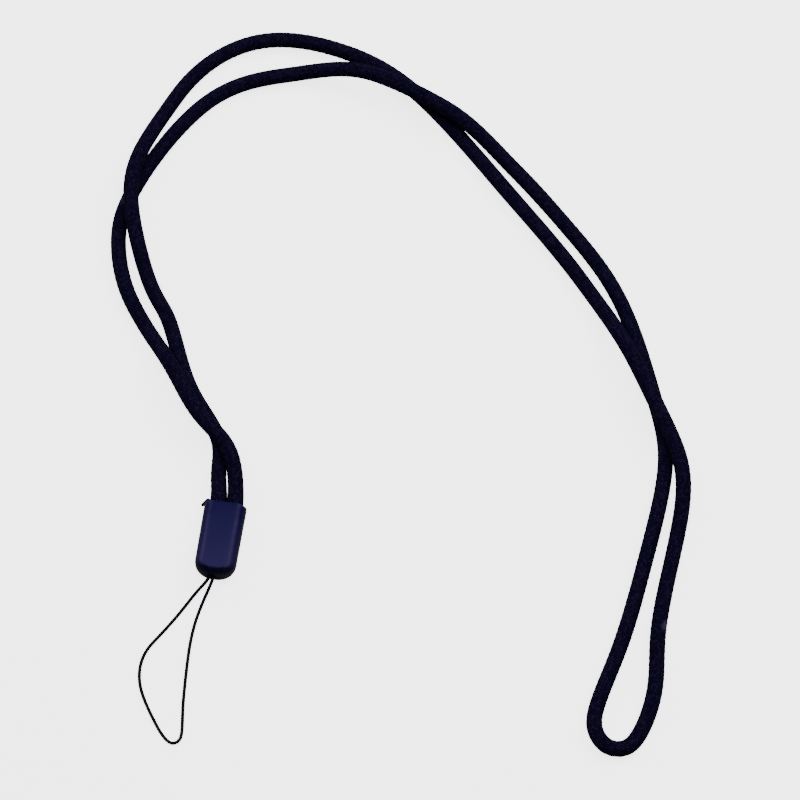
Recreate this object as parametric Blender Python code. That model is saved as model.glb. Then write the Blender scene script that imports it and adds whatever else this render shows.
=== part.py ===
# Neck strap for a phone: one long braided cord, doubled, both of its ends seated side by side in a
# moulded ferrule, and a thin string loop out of the ferrule's lower end. It lies on a flat surface.
# Metres, +Z up. The origin is under the middle of the ferrule, on the surface. +Y runs along the
# ferrule towards the mouth that the cord enters.

import math

import bpy
import bmesh
import numpy as np

MM = 0.001

# Driving dimensions
CORD_DIAMETER = 4.7 * MM
STRING_DIAMETER = 0.9 * MM
CLEARANCE = 0.3 * MM

FERRULE_LENGTH = 22.6 * MM
FERRULE_MOUTH_WIDTH = 12.6 * MM
FERRULE_LOWER_WIDTH = 12.2 * MM
FERRULE_THICKNESS = 8.0 * MM
FERRULE_EDGE_RADIUS = 3.6 * MM
FERRULE_RIM_RADIUS = 0.3 * MM
FERRULE_PLAN_RADIUS = 4.4 * MM
FERRULE_NOSE_RADIUS = 2.0 * MM
POCKET_DEPTH = 19.0 * MM
POCKET_CORNER_RADIUS = 1.1 * MM
POCKET_SIDE_ROOM = 0.5 * MM
CORD_INSERT = 15.0 * MM
CORD_SPACING = 5.0 * MM
HOLE_OFFSET = -0.6 * MM
HOLE_HEIGHT = 1.5 * MM
STRING_END_INSIDE = 0.6 * MM

# How the cord lies: the length in which it comes down from the ferrule to the surface, and the share
# of each hump that is level on top
COME_DOWN = 18.0 * MM
HUMP_LEVEL_SHARE = 0.3

# The roundest that a section's corners get, as a share of its smaller half size
ROUNDEST_SECTION = 0.9

# Finish of the mesh
EDGE_STEPS = 6
NOSE_STEPS = 6
RIM_STEPS = 3
CORD_BEVEL_RESOLUTION = 3
STRING_BEVEL_RESOLUTION = 2
WELD_DISTANCE = 0.001 * MM
FINE_SAMPLES = 6000
SHARP_ANGLE = math.radians(38)

# Spacing of a tube's points: one point for each of these lengths, or of these bends, added up
CORD_POINT_LENGTH = 21.0 * MM
CORD_POINT_BEND = math.radians(38)
STRING_POINT_LENGTH = 5.0 * MM
STRING_POINT_BEND = math.radians(40)

# Colours: linear base colour, roughness
CORD_NAVY = (0.004, 0.004, 0.014)
CORD_ROUGHNESS = 0.85
FERRULE_NAVY = (0.012, 0.012, 0.075)
FERRULE_ROUGHNESS = 0.42
STRING_BLACK = (0.006, 0.006, 0.008)
STRING_ROUGHNESS = 0.7

MID_HEIGHT = FERRULE_THICKNESS / 2
MOUTH_Y = FERRULE_LENGTH / 2
NOSE_Y = -FERRULE_LENGTH / 2
POCKET_FLOOR_Y = MOUTH_Y - POCKET_DEPTH
CORD_END_Y = MOUTH_Y - CORD_INSERT
CORD_RADIUS = CORD_DIAMETER / 2
STRING_RADIUS = STRING_DIAMETER / 2
POCKET_HEIGHT = CORD_DIAMETER + 2 * CLEARANCE
POCKET_WIDTH = CORD_SPACING + CORD_DIAMETER + 2 * POCKET_SIDE_ROOM
LEG_SPACING = STRING_DIAMETER + CLEARANCE
HOLE_WIDTH = LEG_SPACING + STRING_DIAMETER + 2 * CLEARANCE

# The neck cord's way over the surface, from the right side of the mouth, round the loop and back to
# the left side. Columns: x and y in mm, and half the length of the hump where the cord passes over
# its other run, or 0.
CORD_ROUTE = [
    (-2.2, 28.8, 0),
    (-12.6, 38.7, 35),
    (-26.3, 57.4, 0),
    (-41.0, 77.3, 0),
    (-47.1, 95.4, 0),
    (-45.8, 111.0, 0),
    (-29.1, 144.7, 0),
    (-10.1, 157.5, 0),
    (12.9, 161.7, 0),
    (34.3, 156.8, 42),
    (59.9, 143.6, 0),
    (87.7, 119.0, 0),
    (106.7, 96.5, 0),
    (121.0, 65.4, 0),
    (126.7, 45.7, 0),
    (124.8, 14.4, 0),
    (120.2, -16.8, 0),
    (115.9, -37.6, 0),
    (117.4, -43.4, 0),
    (120.9, -46.4, 0),
    (125.3, -46.3, 0),
    (128.9, -42.3, 0),
    (132.1, -27.2, 0),
    (131.0, -8.0, 0),
    (133.2, 26.1, 0),
    (131.4, 43.0, 0),
    (121.9, 61.1, 48),
    (99.4, 95.4, 0),
    (67.3, 129.2, 0),
    (33.9, 159.8, 0),
    (10.0, 170.2, 0),
    (-15.2, 169.8, 0),
    (-34.6, 153.0, 0),
    (-43.6, 128.2, 0),
    (-45.5, 109.9, 38),
    (-34.4, 80.4, 0),
    (-27.3, 70.1, 0),
    (-16.8, 48.3, 0),
    (-5.9, 33.1, 0),
    (-4.0, 22.3, 0),
]

# The string loop's way over the surface, from the left leg round to the right one. Columns: x and y
# in mm, and the height as a share of the way from the surface up to the hole.
STRING_ROUTE = [
    (-3.4, -14.8, 0.55),
    (-5.7, -18.0, 0.12),
    (-8.7, -23.5, 0),
    (-13.1, -30.9, 0),
    (-15.6, -35.2, 0),
    (-16.7, -39.4, 0),
    (-16.6, -43.4, 0),
    (-15.5, -47.4, 0),
    (-13.0, -52.2, 0),
    (-9.5, -57.4, 0),
    (-6.4, -61.2, 0),
    (-3.6, -62.8, 0),
    (-1.8, -61.6, 0),
    (-1.5, -58.4, 0),
    (-2.4, -51.4, 0),
    (-3.2, -41.5, 0),
    (-3.6, -31.5, 0),
    (-3.0, -23.2, 0),
    (-1.7, -17.0, 0.15),
    (-0.6, -13.8, 0.65),
]

# The string's cut tail: from the hole behind the cord ends to the pocket's upper left corner, along
# that corner beside the left cord end, and out of the mouth, where it droops to the left. Columns: x,
# y and the height above the ferrule's middle, in mm.
TAIL_ROUTE = [
    (-0.5, -5.8, 0.9),
    (-1.9, -5.0, 1.65),
    (-3.6, -4.8, 1.95),
    (-4.5, -3.4, 1.95),
    (-4.65, -1.5, 1.95),
    (-4.65, 4.0, 1.95),
    (-4.65, 9.4, 1.95),
    (-4.7, 10.8, 1.9),
    (-4.98, 11.8, 1.55),
    (-5.5, 12.25, 0.75),
    (-6.15, 12.2, -0.55),
    (-6.75, 12.05, -1.85),
    (-7.2, 11.9, -2.65),
]


def clear_scene():
    for item in list(bpy.data.objects):
        bpy.data.objects.remove(item, do_unlink=True)


def plain_material(name, colour, roughness):
    material = bpy.data.materials.new(name)
    material.use_nodes = True
    shader = material.node_tree.nodes["Principled BSDF"]
    shader.inputs["Base Color"].default_value = (*colour, 1.0)
    shader.inputs["Roughness"].default_value = roughness
    shader.inputs["Metallic"].default_value = 0.0
    return material


def smooth_curve(points, samples):
    """Samples of the natural cubic spline through the points, and where samples and points lie on it."""
    points = np.array(points, dtype=float)
    count = len(points)
    chords = np.linalg.norm(np.diff(points, axis=0), axis=1)
    knots = np.concatenate([[0.0], np.cumsum(np.sqrt(chords))])
    steps = np.diff(knots)
    slopes = np.diff(points, axis=0) / steps[:, None]
    matrix = np.eye(count)
    right = np.zeros_like(points)
    for i in range(1, count - 1):
        matrix[i, i - 1:i + 2] = steps[i - 1], 2 * (steps[i - 1] + steps[i]), steps[i]
        right[i] = 6 * (slopes[i] - slopes[i - 1])
    bends = np.linalg.solve(matrix, right)
    places = np.linspace(0.0, knots[-1], samples)
    index = np.clip(np.searchsorted(knots, places) - 1, 0, count - 2)
    step = steps[index][:, None]
    after = (places - knots[index])[:, None]
    before = (knots[index + 1] - places)[:, None]
    curve = (bends[index] * before ** 3 + bends[index + 1] * after ** 3) / (6 * step)
    curve += (points[index] / step - bends[index] * step / 6) * before
    curve += (points[index + 1] / step - bends[index + 1] * step / 6) * after
    return curve, places, knots


def length_along(curve):
    steps = np.linalg.norm(np.diff(curve, axis=0), axis=1)
    return np.concatenate([[0.0], np.cumsum(steps)])


def easing(distance, level, end):
    """1 up to the level distance, then a smooth fall to 0 at the end distance."""
    share = np.clip((distance - level) / (end - level), 0.0, 1.0)
    return np.cos(share * math.pi / 2) ** 2


def cord_line():
    """The neck cord's centreline, from one seat in the ferrule to the other."""
    side = CORD_SPACING / 2
    seats = [(side, CORD_END_Y), (side, MOUTH_Y + CORD_RADIUS)]
    free = [(x * MM, y * MM) for x, y, hump in CORD_ROUTE]
    plan_points = seats + free + [(-x, y) for x, y in reversed(seats)]
    humps = [0] * len(seats) + [hump * MM for x, y, hump in CORD_ROUTE]
    plan, places, knots = smooth_curve(plan_points, FINE_SAMPLES)
    along = length_along(plan)
    height = np.full(len(plan), CORD_RADIUS)
    for half, knot in zip(humps, knots):
        if half:
            centre = np.interp(knot, places, along)
            rise = easing(np.abs(along - centre), HUMP_LEVEL_SHARE * half, half)
            height += (CORD_DIAMETER + CLEARANCE) * rise
    for end in (0.0, along[-1]):
        from_end = np.abs(along - end)
        inside = easing(from_end, CORD_INSERT + CORD_RADIUS, CORD_INSERT + CORD_RADIUS + COME_DOWN)
        height += (MID_HEIGHT - CORD_RADIUS) * inside
    return np.column_stack([plan, height])


def string_line():
    """The string's centreline: an end inside the pocket, the left leg, the loop and the right leg,
    then through the pocket beside the left cord end to the cut tail outside the mouth."""
    left = HOLE_OFFSET - LEG_SPACING / 2
    right = HOLE_OFFSET + LEG_SPACING / 2
    points = [(left, POCKET_FLOOR_Y + STRING_END_INSIDE, MID_HEIGHT)]
    points += [(left, POCKET_FLOOR_Y, MID_HEIGHT), (left, NOSE_Y, MID_HEIGHT)]
    for x, y, share in STRING_ROUTE:
        points.append((x * MM, y * MM, STRING_RADIUS + share * (MID_HEIGHT - STRING_RADIUS)))
    points += [(right, NOSE_Y, MID_HEIGHT), (right, POCKET_FLOOR_Y, MID_HEIGHT)]
    points += [(x * MM, y * MM, MID_HEIGHT + above * MM) for x, y, above in TAIL_ROUTE]
    curve = smooth_curve(points, FINE_SAMPLES)[0]
    curve[:, 2] = np.maximum(curve[:, 2], STRING_RADIUS)
    return curve


def tube_points(curve, point_length, point_bend):
    """Few points of a fine curve: far apart on straight runs and closer in the bends."""
    steps = np.diff(curve, axis=0)
    lengths = np.linalg.norm(steps, axis=1)
    ways = steps / lengths[:, None]
    cosines = np.clip((ways[1:] * ways[:-1]).sum(axis=1), -1.0, 1.0)
    bends = np.concatenate([[0.0], np.arccos(cosines)])
    measure = np.concatenate([[0.0], np.cumsum(lengths / point_length + bends / point_bend)])
    wanted = np.linspace(0.0, measure[-1], round(measure[-1]) + 1)
    return np.column_stack([np.interp(wanted, measure, curve[:, axis]) for axis in range(3)])


def add_tube(name, points, radius, resolution, material):
    data = bpy.data.curves.new(name, "CURVE")
    data.dimensions = "3D"
    data.bevel_depth = radius
    data.bevel_resolution = resolution
    data.use_fill_caps = True
    spline = data.splines.new("POLY")
    spline.points.add(len(points) - 1)
    for target, point in zip(spline.points, points):
        target.co = (*point, 1.0)
    spline.use_smooth = True
    data.materials.append(material)
    tube = bpy.data.objects.new(name, data)
    bpy.context.collection.objects.link(tube)
    return tube


def rounded_section(y, half_width, half_height, corner):
    """Corners of a rounded rectangle across the ferrule, all round, at one place along it."""
    ring = []
    for quarter in range(4):
        across = 1 if quarter in (0, 3) else -1
        upward = 1 if quarter in (0, 1) else -1
        for step in range(EDGE_STEPS + 1):
            angle = math.radians(90) * (quarter + step / EDGE_STEPS)
            x = across * (half_width - corner) + corner * math.cos(angle)
            z = upward * (half_height - corner) + corner * math.sin(angle)
            ring.append((x, y, MID_HEIGHT + z))
    return ring


def loft(name, rings):
    """A closed solid through rings of equal size, listed from the mouth's side to the nose's side."""
    mesh = bmesh.new()
    loops = [[mesh.verts.new(point) for point in ring] for ring in rings]
    count = len(rings[0])
    for first, second in zip(loops, loops[1:]):
        for i in range(count):
            j = (i + 1) % count
            mesh.faces.new((first[i], first[j], second[j], second[i]))
    mesh.faces.new(list(reversed(loops[0])))
    mesh.faces.new(loops[-1])
    bmesh.ops.recalc_face_normals(mesh, faces=mesh.faces)
    data = bpy.data.meshes.new(name)
    mesh.to_mesh(data)
    mesh.free()
    solid = bpy.data.objects.new(name, data)
    bpy.context.collection.objects.link(solid)
    return solid


def quarter_inset(depth, radius):
    """How far a quarter round of this radius draws an edge in, at a depth behind its end."""
    left = max(radius - depth, 0.0)
    return radius - math.sqrt(radius ** 2 - left ** 2)


def ferrule_sections():
    """Rings of the ferrule's outside: the eased rim, the slightly tapered body, the round nose."""
    rings = []
    stations = [FERRULE_RIM_RADIUS * (1 - math.cos(math.radians(90) * i / RIM_STEPS))
                for i in range(RIM_STEPS + 1)]
    nose = [FERRULE_PLAN_RADIUS * (1 - math.cos(math.radians(90) * i / NOSE_STEPS))
            for i in range(NOSE_STEPS + 1)]
    stations += [FERRULE_LENGTH - depth for depth in reversed(nose)]
    for depth in stations:
        to_nose = FERRULE_LENGTH - depth
        share = depth / FERRULE_LENGTH
        width = FERRULE_MOUTH_WIDTH + (FERRULE_LOWER_WIDTH - FERRULE_MOUTH_WIDTH) * share
        rim = quarter_inset(depth, FERRULE_RIM_RADIUS)
        half_width = width / 2 - rim - quarter_inset(to_nose, FERRULE_PLAN_RADIUS)
        half_height = FERRULE_THICKNESS / 2 - rim - quarter_inset(to_nose, FERRULE_NOSE_RADIUS)
        widest = ROUNDEST_SECTION * min(half_height, half_width)
        corner = min(FERRULE_EDGE_RADIUS - rim, widest)
        rings.append(rounded_section(MOUTH_Y - depth, half_width, half_height, corner))
    return rings


def cutter(name, x, y_from, y_to, width, height, corner):
    """A rounded slot along the ferrule, to cut it with."""
    rings = []
    for y in (y_from, y_to):
        ring = rounded_section(y, width / 2, height / 2, corner)
        rings.append([(x + px, py, pz) for px, py, pz in ring])
    solid = loft(name, rings)
    weld = bmesh.new()
    weld.from_mesh(solid.data)
    bmesh.ops.remove_doubles(weld, verts=weld.verts, dist=WELD_DISTANCE)
    weld.to_mesh(solid.data)
    weld.free()
    solid.hide_render = True
    solid.display_type = "WIRE"
    return solid


def cut(target, tool):
    boolean = target.modifiers.new(tool.name, "BOOLEAN")
    boolean.operation = "DIFFERENCE"
    boolean.solver = "EXACT"
    boolean.object = tool


def add_ferrule(material):
    """The moulded cap: a pocket for both cord ends and the string's tail, and a hole for its legs."""
    ferrule = loft("ferrule", ferrule_sections())
    ferrule.data.materials.append(material)
    beyond = MOUTH_Y + CORD_DIAMETER
    pocket = cutter("pocket_cutter", 0.0, beyond, POCKET_FLOOR_Y,
                    POCKET_WIDTH, POCKET_HEIGHT, POCKET_CORNER_RADIUS)
    inside = POCKET_FLOOR_Y + CORD_RADIUS
    outside = NOSE_Y - CORD_RADIUS
    hole = cutter("hole_cutter", HOLE_OFFSET, inside, outside,
                  HOLE_WIDTH, HOLE_HEIGHT, HOLE_HEIGHT / 2)
    cut(ferrule, pocket)
    cut(ferrule, hole)
    ferrule.data.shade_smooth()
    ferrule.data.set_sharp_from_angle(angle=SHARP_ANGLE)
    return ferrule


def add_neck_cord(material):
    points = tube_points(cord_line(), CORD_POINT_LENGTH, CORD_POINT_BEND)
    return add_tube("neck_cord", points, CORD_RADIUS, CORD_BEVEL_RESOLUTION, material)


def add_string(material):
    points = tube_points(string_line(), STRING_POINT_LENGTH, STRING_POINT_BEND)
    return add_tube("string_loop", points, STRING_RADIUS, STRING_BEVEL_RESOLUTION, material)


def main():
    clear_scene()
    add_ferrule(plain_material("moulded_navy_plastic", FERRULE_NAVY, FERRULE_ROUGHNESS))
    add_neck_cord(plain_material("braided_navy_cord", CORD_NAVY, CORD_ROUGHNESS))
    add_string(plain_material("black_string", STRING_BLACK, STRING_ROUGHNESS))


main()
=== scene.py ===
import math

import bpy
import numpy as np
from mathutils import Matrix, Vector


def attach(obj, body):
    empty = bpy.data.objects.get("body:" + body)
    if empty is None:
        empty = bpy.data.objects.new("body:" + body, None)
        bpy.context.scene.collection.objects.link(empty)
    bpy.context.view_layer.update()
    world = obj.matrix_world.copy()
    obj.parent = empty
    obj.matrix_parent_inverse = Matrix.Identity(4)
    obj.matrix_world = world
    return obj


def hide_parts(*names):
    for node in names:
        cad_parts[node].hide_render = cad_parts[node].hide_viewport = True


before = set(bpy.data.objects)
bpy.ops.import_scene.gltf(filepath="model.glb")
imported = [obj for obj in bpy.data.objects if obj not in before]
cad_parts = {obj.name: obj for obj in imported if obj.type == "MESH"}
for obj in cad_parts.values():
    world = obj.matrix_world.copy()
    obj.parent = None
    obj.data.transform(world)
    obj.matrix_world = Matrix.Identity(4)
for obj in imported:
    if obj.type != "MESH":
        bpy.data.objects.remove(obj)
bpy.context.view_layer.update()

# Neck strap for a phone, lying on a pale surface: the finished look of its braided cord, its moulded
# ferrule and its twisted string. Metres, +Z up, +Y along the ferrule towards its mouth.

MM = 0.001
ROUND = 2 * math.pi
QUARTER = math.pi / 2

# Sizes shared with the part
CORD_DIAMETER = 4.7 * MM
STRING_DIAMETER = 0.9 * MM
CLEARANCE = 0.3 * MM

FERRULE_LENGTH = 22.6 * MM
FERRULE_MOUTH_WIDTH = 12.6 * MM
FERRULE_LOWER_WIDTH = 12.2 * MM
FERRULE_THICKNESS = 8.0 * MM
FERRULE_EDGE_RADIUS = 3.6 * MM
FERRULE_RIM_RADIUS = 0.3 * MM
FERRULE_PLAN_RADIUS = 4.4 * MM
FERRULE_NOSE_RADIUS = 2.0 * MM
POCKET_DEPTH = 19.0 * MM
POCKET_CORNER_RADIUS = 1.1 * MM
POCKET_SIDE_ROOM = 0.5 * MM
CORD_INSERT = 15.0 * MM
CORD_SPACING = 5.0 * MM
HOLE_OFFSET = -0.6 * MM
HOLE_HEIGHT = 1.5 * MM
STRING_END_INSIDE = 0.6 * MM

MID_HEIGHT = FERRULE_THICKNESS / 2
MOUTH_Y = FERRULE_LENGTH / 2
NOSE_Y = -FERRULE_LENGTH / 2
POCKET_FLOOR_Y = MOUTH_Y - POCKET_DEPTH
CORD_END_Y = MOUTH_Y - CORD_INSERT
CORD_RADIUS = CORD_DIAMETER / 2
STRING_RADIUS = STRING_DIAMETER / 2
POCKET_HEIGHT = CORD_DIAMETER + 2 * CLEARANCE
POCKET_WIDTH = CORD_SPACING + CORD_DIAMETER + 2 * POCKET_SIDE_ROOM
LEG_SPACING = STRING_DIAMETER + CLEARANCE
HOLE_WIDTH = LEG_SPACING + STRING_DIAMETER + 2 * CLEARANCE

COME_DOWN = 18.0 * MM
HUMP_LEVEL_SHARE = 0.3
ROUNDEST_SECTION = 0.9
FINE_SAMPLES = 6000

# The neck cord's way over the surface, from the right side of the mouth, round the loop and back to
# the left side. Columns: x and y in mm, and half the length of the hump where the cord passes over
# its other run, or 0.
CORD_ROUTE = [
    (-2.2, 28.8, 0),
    (-12.6, 38.7, 35),
    (-26.3, 57.4, 0),
    (-41.0, 77.3, 0),
    (-47.1, 95.4, 0),
    (-45.8, 111.0, 0),
    (-29.1, 144.7, 0),
    (-10.1, 157.5, 0),
    (12.9, 161.7, 0),
    (34.3, 156.8, 42),
    (59.9, 143.6, 0),
    (87.7, 119.0, 0),
    (106.7, 96.5, 0),
    (121.0, 65.4, 0),
    (126.7, 45.7, 0),
    (124.8, 14.4, 0),
    (120.2, -16.8, 0),
    (115.9, -37.6, 0),
    (117.4, -43.4, 0),
    (120.9, -46.4, 0),
    (125.3, -46.3, 0),
    (128.9, -42.3, 0),
    (132.1, -27.2, 0),
    (131.0, -8.0, 0),
    (133.2, 26.1, 0),
    (131.4, 43.0, 0),
    (121.9, 61.1, 48),
    (99.4, 95.4, 0),
    (67.3, 129.2, 0),
    (33.9, 159.8, 0),
    (10.0, 170.2, 0),
    (-15.2, 169.8, 0),
    (-34.6, 153.0, 0),
    (-43.6, 128.2, 0),
    (-45.5, 109.9, 38),
    (-34.4, 80.4, 0),
    (-27.3, 70.1, 0),
    (-16.8, 48.3, 0),
    (-5.9, 33.1, 0),
    (-4.0, 22.3, 0),
]

# The string loop's way over the surface, from the left leg round to the right one. Columns: x and y
# in mm, and the height as a share of the way from the surface up to the hole.
STRING_ROUTE = [
    (-3.4, -14.8, 0.55),
    (-5.7, -18.0, 0.12),
    (-8.7, -23.5, 0),
    (-13.1, -30.9, 0),
    (-15.6, -35.2, 0),
    (-16.7, -39.4, 0),
    (-16.6, -43.4, 0),
    (-15.5, -47.4, 0),
    (-13.0, -52.2, 0),
    (-9.5, -57.4, 0),
    (-6.4, -61.2, 0),
    (-3.6, -62.8, 0),
    (-1.8, -61.6, 0),
    (-1.5, -58.4, 0),
    (-2.4, -51.4, 0),
    (-3.2, -41.5, 0),
    (-3.6, -31.5, 0),
    (-3.0, -23.2, 0),
    (-1.7, -17.0, 0.15),
    (-0.6, -13.8, 0.65),
]

# The string's cut tail: from the hole behind the cord ends to the pocket's upper left corner, along
# that corner beside the left cord end, and out of the mouth, where it droops to the left. Columns: x,
# y and the height above the ferrule's middle, in mm.
TAIL_ROUTE = [
    (-0.5, -5.8, 0.9),
    (-1.9, -5.0, 1.65),
    (-3.6, -4.8, 1.95),
    (-4.5, -3.4, 1.95),
    (-4.65, -1.5, 1.95),
    (-4.65, 4.0, 1.95),
    (-4.65, 9.4, 1.95),
    (-4.7, 10.8, 1.9),
    (-4.98, 11.8, 1.55),
    (-5.5, 12.25, 0.75),
    (-6.15, 12.2, -0.55),
    (-6.75, 12.05, -1.85),
    (-7.2, 11.9, -2.65),
]

# The braid: how many strands run each way round the cord, the length along the cord of one strand's
# step, how deep the strands' relief is, the braid's radius, the share by which it swells and thins,
# and the lengths in which it does
BRAID_STRANDS = 16
BRAID_STEP = 1.1 * MM
BRAID_RELIEF = 0.04 * MM
BRAID_RADIUS = 2.35 * MM
SWELL = 0.01
SWELLS_EACH = (83.0 * MM, 31.0 * MM)

# How much the braid fills out, with its relief pressed flat, where its two ends touch at the mouth,
# and how far from there it does
MOUTH_SWELL = 0.15 * MM
MOUTH_SWELL_REACH = 9.0 * MM

# The cord's mesh: its step along the cord and its corners round it.
CORD_RING_STEP = 0.33 * MM
CORD_AROUND = 32

# Places where the braid is worn pale, and how far each reaches
WORN_PLACES = [(132.8 * MM, -7.6 * MM, 3.6 * MM), (-46.9 * MM, 107.6 * MM, 3.8 * MM)]
WORN_REACH = 3.2 * MM

# The string: how many yarns it is twisted from, the length of one turn, how far out the yarns reach
# and the share of it by which the grooves between them are deeper, and its mesh
STRING_YARNS = 3
STRING_TURN = 2.6 * MM
YARN_REACH = 0.54 * MM
YARN_DEPTH = 0.16
STRING_RING_STEP = 0.2 * MM
STRING_AROUND = 18

# The ferrule's finer mesh: steps of each part of a section and of the way along it, shares of the
# way over the nose's flat end and over the pocket's floor, and the eased edges of its openings
CORNER_STEPS = 8
FLAT_STEPS = 10
SIDE_STEPS = 3
RIM_STEPS = 5
BODY_STEPS = 25
NOSE_STEPS = 16
POCKET_STEPS = 11
HOLE_RINGS = 4
NOSE_END_SHARES = (0.35, 0.7, 0.93)
POCKET_FLOOR_SHARES = (0.4, 0.8, 1.0)
MOUTH_EASE = 0.12 * MM
SHARP_ANGLE = math.radians(50)

# Where the ferrule's rim is paler: how far back from the mouth, and from where to where across it
RIM_PALE_DEPTH = 1.4 * MM
RIM_PALE_FROM = 3.2 * MM
RIM_PALE_TO = 4.6 * MM

# Colours, as linear red, green and blue
BRAID_WARM = (0.0036, 0.0014, 0.0118)
BRAID_COOL = (0.0022, 0.0017, 0.0118)
# Painted highlight: the colour of the glints on the braid's filaments
BRAID_PAINTED_GLINT = (0.0125, 0.0085, 0.0300)
# Painted shade: the dark colour of the hollows between the braid's strands
BRAID_PAINTED_HOLLOW_SHADE = (0.0008, 0.0005, 0.0038)
BRAID_WORN = (0.075, 0.062, 0.130)
# Painted shading on the ferrule: darker at the mouth, paler towards the nose
PLASTIC_PAINTED_SHADE_AT_MOUTH = (0.0018, 0.0003, 0.0290)
PLASTIC_PAINTED_LIGHT_TOWARDS_NOSE = (0.0150, 0.0098, 0.0530)
PLASTIC_CLOUD = (0.0085, 0.0055, 0.0450)
# Painted highlight along the ferrule's long edges, and the paler colour of its rim's corners
PLASTIC_PAINTED_HIGHLIGHT_AND_PALE_RIM = (0.0330, 0.0250, 0.0720)
# Painted shade on the ferrule's sides
PLASTIC_PAINTED_SIDE_SHADE = (0.0018, 0.0006, 0.0120)
# Painted shade on the ferrule's nose end
PLASTIC_PAINTED_NOSE_SHADE = (0.0010, 0.0004, 0.0080)
PLASTIC_SCUFF = (0.030, 0.026, 0.070)
PLASTIC_DUST = (0.060, 0.060, 0.090)
STRING_DARK = (0.0025, 0.0022, 0.0045)
STRING_PALE = (0.0070, 0.0065, 0.0110)
# Painted shade: the dark colour of the grooves between the string's yarns
STRING_PAINTED_GROOVE_SHADE = (0.001, 0.001, 0.002)
FLOOR_DARK = (0.35, 0.35, 0.35)
FLOOR_PALE = (0.37, 0.37, 0.37)
WHITE = (1.0, 1.0, 1.0)

# The camera: turned from +Y, above the horizon, where it aims, how far off it is, how far it sees,
# and its lens and sensor in mm
CAMERA_TURN = math.radians(8.3)
CAMERA_RISE = math.radians(65)
AIM_RIGHT = 53.05 * MM
AIM_AWAY = 47.77 * MM
CAMERA_DISTANCE = 1.2
CAMERA_SIGHT = 10.0
CAMERA_LENS = 180
CAMERA_SENSOR = 36

# The pale surface: half its width, its level, and how strongly it glows of itself, as a lit table
# does, so that shadows stay faint
FLOOR_HALF = 1.6
FLOOR_LEVEL = -0.05 * MM
FLOOR_GLOW = 3.35

# The soft square lights, all aimed at one spot, and the room's own light. Columns: name, position,
# width, power and colour.
LIGHTS = [
    ("right_light", (0.75, 0.95, 1.25), 0.9, 26.0, (1.0, 0.99, 0.98)),
    ("left_light", (-0.95, 0.75, 1.1), 0.8, 15.0, (0.98, 0.99, 1.0)),
    ("top_light", (0.0, 0.2, 1.7), 1.2, 22.0, WHITE),
]
LIT_SPOT = (0.04, 0.06, 0.0)
ROOM_LIGHT = 0.08


def smooth_curve(points, samples):
    """Samples of the natural cubic spline through the points, and where they and the points lie."""
    points = np.array(points, dtype=float)
    count = len(points)
    chords = np.linalg.norm(np.diff(points, axis=0), axis=1)
    knots = np.concatenate([[0.0], np.cumsum(np.sqrt(chords))])
    steps = np.diff(knots)
    slopes = np.diff(points, axis=0) / steps[:, None]
    matrix = np.eye(count)
    right = np.zeros_like(points)
    for i in range(1, count - 1):
        matrix[i, i - 1:i + 2] = steps[i - 1], 2 * (steps[i - 1] + steps[i]), steps[i]
        right[i] = 6 * (slopes[i] - slopes[i - 1])
    bends = np.linalg.solve(matrix, right)
    places = np.linspace(0.0, knots[-1], samples)
    index = np.clip(np.searchsorted(knots, places) - 1, 0, count - 2)
    step = steps[index][:, None]
    after = (places - knots[index])[:, None]
    before = (knots[index + 1] - places)[:, None]
    curve = (bends[index] * before ** 3 + bends[index + 1] * after ** 3) / (6 * step)
    curve += (points[index] / step - bends[index] * step / 6) * before
    curve += (points[index + 1] / step - bends[index + 1] * step / 6) * after
    return curve, places, knots


def length_along(curve):
    steps = np.linalg.norm(np.diff(curve, axis=0), axis=1)
    return np.concatenate([[0.0], np.cumsum(steps)])


def easing(distance, level, end):
    """1 up to the level distance, then a smooth fall to 0 at the end distance."""
    share = np.clip((distance - level) / (end - level), 0.0, 1.0)
    return np.cos(share * math.pi / 2) ** 2


def cord_line():
    """The neck cord's centreline, from one seat in the ferrule to the other."""
    side = CORD_SPACING / 2
    seats = [(side, CORD_END_Y), (side, MOUTH_Y + CORD_RADIUS)]
    free = [(x * MM, y * MM) for x, y, hump in CORD_ROUTE]
    plan_points = seats + free + [(-x, y) for x, y in reversed(seats)]
    humps = [0] * len(seats) + [hump * MM for x, y, hump in CORD_ROUTE]
    plan, places, knots = smooth_curve(plan_points, FINE_SAMPLES)
    along = length_along(plan)
    height = np.full(len(plan), CORD_RADIUS)
    for half, knot in zip(humps, knots):
        if half:
            centre = np.interp(knot, places, along)
            rise = easing(np.abs(along - centre), HUMP_LEVEL_SHARE * half, half)
            height += (CORD_DIAMETER + CLEARANCE) * rise
    for end in (0.0, along[-1]):
        from_end = np.abs(along - end)
        inside = easing(from_end, CORD_INSERT + CORD_RADIUS, CORD_INSERT + CORD_RADIUS + COME_DOWN)
        height += (MID_HEIGHT - CORD_RADIUS) * inside
    return np.column_stack([plan, height])


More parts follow.
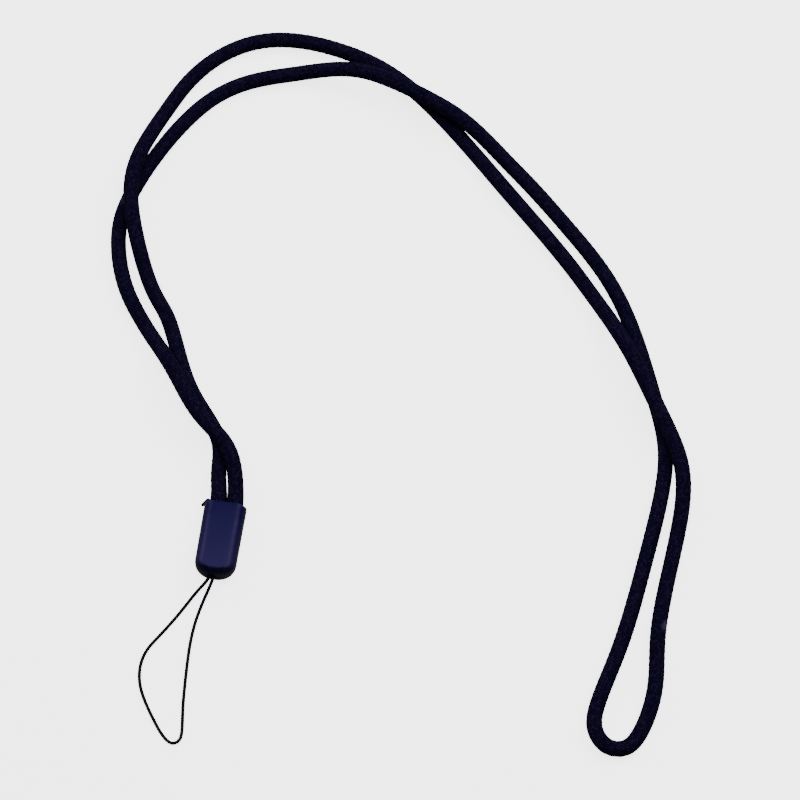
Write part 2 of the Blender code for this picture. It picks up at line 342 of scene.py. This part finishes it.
def string_line():
    """The string's centreline: an end inside the pocket, the left leg, the loop and the right leg,
    then through the pocket beside the left cord end to the cut tail outside the mouth."""
    left = HOLE_OFFSET - LEG_SPACING / 2
    right = HOLE_OFFSET + LEG_SPACING / 2
    points = [(left, POCKET_FLOOR_Y + STRING_END_INSIDE, MID_HEIGHT)]
    points += [(left, POCKET_FLOOR_Y, MID_HEIGHT), (left, NOSE_Y, MID_HEIGHT)]
    for x, y, share in STRING_ROUTE:
        points.append((x * MM, y * MM, STRING_RADIUS + share * (MID_HEIGHT - STRING_RADIUS)))
    points += [(right, NOSE_Y, MID_HEIGHT), (right, POCKET_FLOOR_Y, MID_HEIGHT)]
    points += [(x * MM, y * MM, MID_HEIGHT + above * MM) for x, y, above in TAIL_ROUTE]
    curve = smooth_curve(points, FINE_SAMPLES)[0]
    curve[:, 2] = np.maximum(curve[:, 2], STRING_RADIUS)
    return curve


def even_curve(curve, step):
    """The curve at even steps of about this length, and the distance along it at each point."""
    along = length_along(curve)
    places = np.linspace(0.0, along[-1], round(along[-1] / step) + 1)
    points = np.column_stack([np.interp(places, along, curve[:, axis]) for axis in range(3)])
    return points, places


def frames_along(curve):
    """Directions across and up at each point of the curve, turned only as far as the curve turns."""
    ways = np.gradient(curve, axis=0)
    ways /= np.linalg.norm(ways, axis=1)[:, None]
    across = np.empty_like(ways)
    side = np.cross(ways[0], (0.0, 0.0, 1.0))
    for i, way in enumerate(ways):
        side = side - way * (side @ way)
        side /= np.linalg.norm(side)
        across[i] = side
    return across, np.cross(across, ways)


def new_object(name, data, material):
    data.materials.append(material)
    made = bpy.data.objects.new(name, data)
    bpy.context.collection.objects.link(made)
    return made


def faces_between(rings, around, closed):
    """Corners of the faces between rings of points, and each face's ring and side. The last ring is
    joined to the first if closed."""
    bands = rings if closed else rings - 1
    ring, side = np.meshgrid(np.arange(bands), np.arange(around), indexing="ij")
    further = (ring + 1) % rings
    after = (side + 1) % around
    corners = [ring * around + side, further * around + side]
    corners += [further * around + after, ring * around + after]
    return np.stack(corners, axis=-1).reshape(-1, 4), ring, side


def tube(name, curve, places, radii, lay_name, material):
    """A closed tube with one row of radii for each point of the curve. The corners keep how far they
    are round the tube, as a share of a turn, and how far along it, in mm."""
    rings, around = radii.shape
    across, up = frames_along(curve)
    angles = ROUND * np.arange(around) / around - QUARTER
    spread = np.cos(angles)[None, :, None] * across[:, None, :]
    spread = spread + np.sin(angles)[None, :, None] * up[:, None, :]
    points = curve[:, None, :] + radii[:, :, None] * spread
    faces, ring, side = faces_between(rings, around, closed=False)
    first = list(range(around))
    last = [(rings - 1) * around + i for i in reversed(range(around))]
    data = bpy.data.meshes.new(name)
    data.from_pydata(points.reshape(-1, 3), [], faces.tolist() + [first, last])
    turn = np.stack([side, side, side + 1, side + 1], axis=-1) / around
    along = np.stack([places[ring], places[ring + 1], places[ring + 1], places[ring]], axis=-1) / MM
    lay = np.stack([turn, along], axis=-1).reshape(-1, 2)
    lay = np.concatenate([lay, np.zeros((2 * around, 2))])
    data.uv_layers.new(name=lay_name).data.foreach_set("uv", lay.astype(np.float32).ravel())
    data.shade_smooth()
    data.set_sharp_from_angle(angle=SHARP_ANGLE)
    return new_object(name, data, material)


class Value:
    """A number, colour or vector that varies over a surface. Arithmetic on numbers adds nodes."""

    def __init__(self, surface, socket):
        self.surface = surface
        self.socket = socket

    def math(self, operation, *others):
        return self.surface.calculate(operation, self, *others)

    def __add__(self, other):
        return self.math("ADD", other)

    def __sub__(self, other):
        return self.math("SUBTRACT", other)

    def __mul__(self, other):
        return self.math("MULTIPLY", other)

    def __truediv__(self, other):
        return self.math("DIVIDE", other)

    def __pow__(self, other):
        return self.math("POWER", other)

    def __radd__(self, other):
        return self.surface.calculate("ADD", other, self)

    def __rsub__(self, other):
        return self.surface.calculate("SUBTRACT", other, self)

    def __rmul__(self, other):
        return self.surface.calculate("MULTIPLY", other, self)

    def __rtruediv__(self, other):
        return self.surface.calculate("DIVIDE", other, self)

    def __abs__(self):
        return self.math("ABSOLUTE")

    def __mod__(self, other):
        return self.math("FLOORED_MODULO", other)

    def floor(self):
        return self.math("FLOOR")

    def fraction(self):
        return self.math("FRACT")

    def clamped(self):
        return self.math("MAXIMUM", 0.0).math("MINIMUM", 1.0)

    def rising(self, low, high):
        """0 below the low value, 1 above the high one and a straight rise between them."""
        return ((self - low) / (high - low)).clamped()

    def falling(self, low, high):
        """1 below the low value, 0 above the high one and a straight fall between them."""
        return 1.0 - self.rising(low, high)


class Surface:
    """One material's nodes, with its Principled shader."""

    def __init__(self, name, roughness, shine):
        self.material = bpy.data.materials.new(name)
        self.material.use_nodes = True
        self.nodes = self.material.node_tree.nodes
        self.links = self.material.node_tree.links
        self.shader = self.nodes["Principled BSDF"]
        self.set("Roughness", roughness)
        self.set("Specular IOR Level", shine)

    def feed(self, target, item):
        if isinstance(item, Value):
            self.links.new(item.socket, target)
        elif isinstance(item, tuple) and len(item) == 3 and len(target.default_value) == 4:
            target.default_value = (*item, 1.0)
        else:
            target.default_value = item

    def set(self, name, item):
        self.feed(self.shader.inputs[name], item)

    def add(self, kind, settings=None, inputs=None, output=0):
        node = self.nodes.new("ShaderNode" + kind)
        for name, value in (settings or {}).items():
            setattr(node, name, value)
        for name, item in (inputs or {}).items():
            self.feed(node.inputs[name], item)
        return Value(self, node.outputs[output])

    def calculate(self, operation, *items):
        return self.add("Math", {"operation": operation}, dict(enumerate(items)))

    def mix_colour(self, factor, first, second):
        """The first colour where the factor is 0 and the second where it is 1."""
        return self.add("Mix", {"data_type": "RGBA"}, {0: factor, 6: first, 7: second}, 2)

    def parts(self, vector):
        """The three numbers of a vector."""
        return [self.add("SeparateXYZ", None, {0: vector}, axis) for axis in ("X", "Y", "Z")]

    def joined(self, x, y, z):
        return self.add("CombineXYZ", None, {0: x, 1: y, 2: z})

    def noise(self, place, scale, detail=2.0, roughness=0.5):
        inputs = {"Vector": place, "Scale": scale, "Detail": detail, "Roughness": roughness}
        return self.add("TexNoise", None, inputs)

    def bump(self, height, distance):
        return self.add("Bump", None, {"Height": height, "Distance": distance})

    def coordinates(self, kind):
        return self.add("TexCoord", None, None, kind)

    def lay(self, name):
        """How far round a tube, as a share of a turn, and how far along it, in mm."""
        return self.parts(self.add("Attribute", {"attribute_name": name}, None, "Vector"))[:2]

    def near(self, spot, reach):
        """1 at a spot of the object, falling to 0 at this distance from it."""
        inputs = {0: self.coordinates("Object"), 1: spot}
        return self.add("VectorMath", {"operation": "DISTANCE"}, inputs, "Value").falling(0.0, reach)


def braid_material():
    """Near-black navy braid: fine strands that pass over and under each other, each of filaments,
    with painted glints on the filaments and painted shade in the hollows between the strands.
    """
    made = Surface("braided navy cord", roughness=0.9, shine=0.015)
    turn, along = made.lay("braid")
    around = turn * BRAID_STRANDS
    steps = along / (BRAID_STEP / MM)
    one_way = around + steps
    other_way = around - steps
    one_index = one_way.floor()
    other_index = other_way.floor()
    one_on_top = (one_index + other_index) % 2.0
    other_on_top = 1.0 - one_on_top
    one_across = one_way.fraction()
    other_across = other_way.fraction()
    across = one_across * one_on_top + other_across * other_on_top
    run = other_across * one_on_top + one_across * other_on_top
    crown = (4.0 * across * (1.0 - across)).clamped() ** 0.6
    height = crown * (4.0 * run * (1.0 - run)).clamped() ** 0.35
    way_round = (one_index + other_index) % (2.0 * BRAID_STRANDS)
    stitch = made.joined(one_index - other_index, way_round, 0.0)
    uneven = made.add("TexWhiteNoise", {"noise_dimensions": "2D"}, {"Vector": stitch})
    fine_across = one_way * one_on_top + other_way * other_on_top
    fine_along = other_way * one_on_top + one_way * other_on_top
    drawn_out = made.joined(fine_across * 5.0, fine_along * 0.9, one_on_top * 9.0)
    filaments = made.noise(drawn_out, scale=1.0)
    place = made.coordinates("Object")
    cloudy = made.noise(place, scale=130.0)
    fleck = made.noise(place, scale=1500.0, detail=1.0)
    tint = made.mix_colour(cloudy.rising(0.38, 0.62), BRAID_WARM, BRAID_COOL)
    # Painted highlights: glints painted paler on some filaments, where light would catch them
    painted_glints = (filaments * (0.5 + uneven) * fleck * 4.0).rising(0.7, 1.9)
    lit = made.mix_colour(painted_glints, tint, BRAID_PAINTED_GLINT)
    # Painted shade: the hollows between the strands are darkened
    shade = made.mix_colour(height.rising(0.2, 0.9), BRAID_PAINTED_HOLLOW_SHADE, lit)
    pale_marks = sum(made.near(spot, WORN_REACH) for spot in WORN_PLACES)
    rough = made.noise(place, scale=900.0, detail=3.0, roughness=0.7)
    pilled = (pale_marks * rough).rising(0.20, 0.42) * 0.45
    tufts = made.noise(place, scale=420.0, detail=3.0, roughness=0.7)
    lint = tufts.rising(0.755, 0.80) * 0.5
    made.set("Base Color", made.mix_colour((pilled + lint).clamped(), shade, BRAID_WORN))
    made.set("Normal", made.bump(height + filaments * 0.35 + fleck * 0.2, distance=0.12 * MM))
    return made.material


def plastic_material():
    """Semi-matte navy moulded plastic, with paler corners at its rim, a fine grain, faint scuffs and
    a little dust. Painted highlights run along its long edges, painted light makes it paler towards
    the string's end, and painted shade makes its sides and nose dark."""
    made = Surface("moulded navy plastic", roughness=0.42, shine=0.03)
    place = made.coordinates("Object")
    x, y, z = made.parts(place)
    lean_x, lean_y, lean_z = made.parts(made.coordinates("Normal"))
    cloudy = made.noise(place, scale=240.0, detail=3.0, roughness=0.6)
    # Painted shading: the plastic darkens towards the mouth and pales towards the nose
    toward_nose = ((MOUTH_Y - y) / FERRULE_LENGTH).clamped()
    base = made.mix_colour(toward_nose, PLASTIC_PAINTED_SHADE_AT_MOUTH, PLASTIC_PAINTED_LIGHT_TOWARDS_NOSE)
    base = made.mix_colour(cloudy.rising(0.3, 0.7) * 0.35, base, PLASTIC_CLOUD)
    # Painted highlights along the long edges, where the top rolls over to the sides, and paler
    # corners at the rim
    edge = abs(lean_x).rising(0.24, 0.42) * abs(lean_x).falling(0.48, 0.66) * lean_z.rising(0.0, 0.3)
    rim = y.rising(MOUTH_Y - RIM_PALE_DEPTH, MOUTH_Y) * abs(x).rising(RIM_PALE_FROM, RIM_PALE_TO)
    pale_marks = (edge * (0.4 + 0.5 * toward_nose) + rim * 0.5).clamped() * cloudy.rising(0.2, 0.6)
    base = made.mix_colour(pale_marks, base, PLASTIC_PAINTED_HIGHLIGHT_AND_PALE_RIM)
    # Painted shade: the sides, where the surface turns away from up, are darkened
    side = lean_z.falling(0.45, 0.80)
    base = made.mix_colour(side * 0.75, base, PLASTIC_PAINTED_SIDE_SHADE)
    # Painted shade: the nose end, facing away from the lights, is darkened
    nose = (0.0 - lean_y).rising(0.12, 0.38) * y.falling(NOSE_Y, NOSE_Y + 2 * FERRULE_NOSE_RADIUS)
    base = made.mix_colour(nose.rising(0.0, 0.5) * 0.85, base, PLASTIC_PAINTED_NOSE_SHADE)
    grain = made.noise(place, scale=5200.0)
    streaks = made.noise(made.joined(x * 9000.0, y * 500.0, z * 3000.0), scale=1.0)
    scuffs = streaks.rising(0.66, 0.78) * (1.0 - side)
    dust = made.noise(place, scale=2400.0, detail=1.0).rising(0.78, 0.82)
    base = made.mix_colour(scuffs * 0.16, base, PLASTIC_SCUFF)
    made.set("Base Color", made.mix_colour(dust * 0.4, base, PLASTIC_DUST))
    made.set("Roughness", 0.38 + cloudy * 0.10 + scuffs * 0.12)
    made.set("Normal", made.bump(grain * 0.6 + cloudy * 1.4, distance=0.05 * MM))
    return made.material


def string_material():
    """Thin black string: three yarns of fine fibres, with painted shade in the grooves between them.
    """
    made = Surface("twisted black string", roughness=0.75, shine=0.05)
    turn, along = made.lay("twist")
    twisted = turn - along / (STRING_TURN / MM)
    in_yarn = (twisted * STRING_YARNS).fraction()
    groove = (in_yarn * (1.0 - in_yarn) * 4.0).clamped()
    fibres = made.noise(made.joined(twisted * 40.0, along * 1.5, 0.0), scale=1.0)
    lit = made.mix_colour(fibres.rising(0.4, 0.7), STRING_DARK, STRING_PALE)
    # Painted shade: the grooves between the yarns are darkened
    made.set("Base Color", made.mix_colour(groove, STRING_PAINTED_GROOVE_SHADE, lit))
    made.set("Normal", made.bump(groove + fibres * 0.4, distance=0.08 * MM))
    return made.material


def add_neck_cord():
    """The braided cord, one tube with a soft unevenness, from seat to seat."""
    curve, places = even_curve(cord_line(), CORD_RING_STEP)
    turn = np.arange(CORD_AROUND)[None, :] / CORD_AROUND
    along = places[:, None]
    swell = sum(np.sin(along * ROUND / each) for each in SWELLS_EACH) / len(SWELLS_EACH)
    from_mouth = np.minimum(along, places[-1] - along) - CORD_INSERT
    pressed = easing(np.abs(from_mouth), 0.0, MOUTH_SWELL_REACH)
    lumps = np.cos(BRAID_STRANDS / 2 * ROUND * turn) * np.cos(ROUND * along / (2 * BRAID_STEP))
    relief = BRAID_RELIEF * lumps * (1 - pressed)
    radii = BRAID_RADIUS * (1 + SWELL * swell) + MOUTH_SWELL * pressed - relief
    cord = tube("braided_cord", curve, places, radii, "braid", braid_material())
    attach(cord, "root")
    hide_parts("neck_cord")


def add_string():
    """The twisted string, from its end in the pocket round the loop to its cut tail."""
    curve, places = even_curve(string_line(), STRING_RING_STEP)
    turn = np.arange(STRING_AROUND)[None, :] / STRING_AROUND
    twisted = turn - places[:, None] / STRING_TURN
    yarns = np.abs(np.sin(math.pi * STRING_YARNS * twisted))
    radii = YARN_REACH * (1 - YARN_DEPTH + YARN_DEPTH * yarns)
    string = tube("twisted_string", curve, places, radii, "twist", string_material())
    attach(string, "root")
    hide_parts("string_loop")


def section(y, offset, half_width, half_height, corner):
    """Points round one rounded section across the ferrule, from its right side upwards."""
    corner = min(corner, ROUNDEST_SECTION * min(half_width, half_height))
    arcs = []
    for quarter, (across, upward) in enumerate(((1, 1), (-1, 1), (-1, -1), (1, -1))):
        angles = QUARTER * (quarter + np.arange(CORNER_STEPS + 1) / CORNER_STEPS)
        x = across * (half_width - corner) + corner * np.cos(angles)
        z = upward * (half_height - corner) + corner * np.sin(angles)
        arcs.append(np.column_stack([x, z]))
    ring = []
    for arc, following, steps in zip(arcs, arcs[1:] + arcs[:1], (FLAT_STEPS, SIDE_STEPS) * 2):
        shares = np.arange(1, steps)[:, None] / steps
        ring += [arc, arc[-1] + (following[0] - arc[-1]) * shares]
    x, z = np.concatenate(ring).T
    return np.column_stack([offset + x, np.full(len(x), y), MID_HEIGHT + z])


def quarter_inset(depth, radius):
    """How far a quarter round of this radius draws an edge in, at a depth behind its end."""
    left = max(radius - depth, 0.0)
    return radius - math.sqrt(radius ** 2 - left ** 2)


def quarter_depths(radius, steps):
    """Depths behind an end, at even turns of a quarter round of this radius."""
    return radius * (1 - np.cos(QUARTER * np.arange(steps + 1) / steps))


def outside_sizes(depth):
    """Offset, half width, half height and corner of the outside, at a depth behind the mouth."""
    to_nose = FERRULE_LENGTH - depth
    width = FERRULE_MOUTH_WIDTH + (FERRULE_LOWER_WIDTH - FERRULE_MOUTH_WIDTH) * depth / FERRULE_LENGTH
    rim = quarter_inset(depth, FERRULE_RIM_RADIUS)
    half_width = width / 2 - rim - quarter_inset(to_nose, FERRULE_PLAN_RADIUS)
    half_height = FERRULE_THICKNESS / 2 - rim - quarter_inset(to_nose, FERRULE_NOSE_RADIUS)
    return np.array([0.0, half_width, half_height, FERRULE_EDGE_RADIUS - rim])


def ferrule_rings():
    """Rings over the whole surface of the ferrule: along the outside from the mouth to the nose, in
    through the hole, over the pocket's floor and back along the pocket to the rim."""
    rim = quarter_depths(FERRULE_RIM_RADIUS, RIM_STEPS)
    nose = FERRULE_LENGTH - quarter_depths(FERRULE_PLAN_RADIUS, NOSE_STEPS)[::-1]
    body = np.linspace(rim[-1], nose[0], BODY_STEPS + 1)[1:-1]
    rings = [section(MOUTH_Y - depth, *outside_sizes(depth)) for depth in (*rim, *body, *nose)]
    end = outside_sizes(FERRULE_LENGTH)
    hole = np.array([HOLE_OFFSET, HOLE_WIDTH / 2, HOLE_HEIGHT / 2, HOLE_HEIGHT / 2])
    pocket = np.array([0.0, POCKET_WIDTH / 2, POCKET_HEIGHT / 2, POCKET_CORNER_RADIUS])
    rings += [section(NOSE_Y, *(end + (hole - end) * share)) for share in NOSE_END_SHARES]
    ways_in = np.linspace(NOSE_Y + MOUTH_EASE, POCKET_FLOOR_Y, HOLE_RINGS)
    rings += [section(y, *hole) for y in ways_in]
    rings += [section(POCKET_FLOOR_Y, *(hole + (pocket - hole) * share))
              for share in POCKET_FLOOR_SHARES]
    ways_out = np.linspace(POCKET_FLOOR_Y, MOUTH_Y - 2 * MOUTH_EASE, POCKET_STEPS + 1)
    rings += [section(y, *pocket) for y in ways_out[1:]]
    rings += [section(MOUTH_Y - MOUTH_EASE / 2, *(pocket + MOUTH_EASE * np.array([0, 1, 1, 1])))]
    return np.array(rings)


def add_ferrule():
    """The moulded cap as one closed surface."""
    points = ferrule_rings()
    faces = faces_between(*points.shape[:2], closed=True)[0]
    data = bpy.data.meshes.new("moulded_ferrule")
    data.from_pydata(points.reshape(-1, 3), [], faces[:, ::-1].tolist())
    data.shade_smooth()
    data.set_sharp_from_angle(angle=SHARP_ANGLE)
    ferrule = new_object("moulded_ferrule", data, plastic_material())
    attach(ferrule, "root")
    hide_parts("ferrule")


def add_floor():
    """A plain pale surface, faintly uneven in tone."""
    made = Surface("pale surface", roughness=0.9, shine=0.1)
    cloudy = made.noise(made.coordinates("Object"), scale=3.0)
    made.set("Base Color", made.mix_colour(cloudy, FLOOR_DARK, FLOOR_PALE))
    made.set("Emission Color", WHITE)
    made.set("Emission Strength", FLOOR_GLOW)
    sides = [(-1, -1), (1, -1), (1, 1), (-1, 1)]
    corners = [(x * FLOOR_HALF, y * FLOOR_HALF, FLOOR_LEVEL) for x, y in sides]
    data = bpy.data.meshes.new("surface")
    data.from_pydata(corners, [], [(0, 1, 2, 3)])
    floor = new_object("surface", data, made.material)
    lit_by_glow = bpy.data.collections.new("lit by the surface")
    lit_by_glow.objects.link(floor)
    floor.light_linking.receiver_collection = lit_by_glow


def soft_light(name, position, width, power, colour):
    data = bpy.data.lights.new(name, "AREA")
    data.shape = "SQUARE"
    data.size = width
    data.energy = power
    data.color = colour
    light = bpy.data.objects.new(name, data)
    light.location = position
    light.rotation_euler = (Vector(LIT_SPOT) - Vector(position)).to_track_quat("-Z", "Y").to_euler()
    bpy.context.collection.objects.link(light)


def add_lights():
    for light in LIGHTS:
        soft_light(*light)
    world = bpy.data.worlds.new("pale room")
    world.use_nodes = True
    background = world.node_tree.nodes["Background"]
    background.inputs["Color"].default_value = (*WHITE, 1.0)
    background.inputs["Strength"].default_value = ROOM_LIGHT
    bpy.context.scene.world = world


def add_camera():
    """The photo's view: from the ferrule's nose side, high above the surface."""
    right = Vector((math.cos(CAMERA_TURN), math.sin(CAMERA_TURN), 0.0))
    away = Vector((-math.sin(CAMERA_TURN), math.cos(CAMERA_TURN), 0.0))
    look = away * math.cos(CAMERA_RISE) - Vector((0.0, 0.0, math.sin(CAMERA_RISE)))
    up = right.cross(look)
    position = right * AIM_RIGHT + away * AIM_AWAY - look * CAMERA_DISTANCE
    data = bpy.data.cameras.new("camera")
    data.lens = CAMERA_LENS
    data.sensor_width = CAMERA_SENSOR
    data.clip_end = CAMERA_SIGHT
    camera = bpy.data.objects.new("camera", data)
    axes = Matrix((right, up, -look)).transposed()
    camera.matrix_world = Matrix.Translation(position) @ axes.to_4x4()
    bpy.context.collection.objects.link(camera)
    bpy.context.scene.camera = camera


add_camera()
add_floor()
add_lights()
add_neck_cord()
add_string()
add_ferrule()
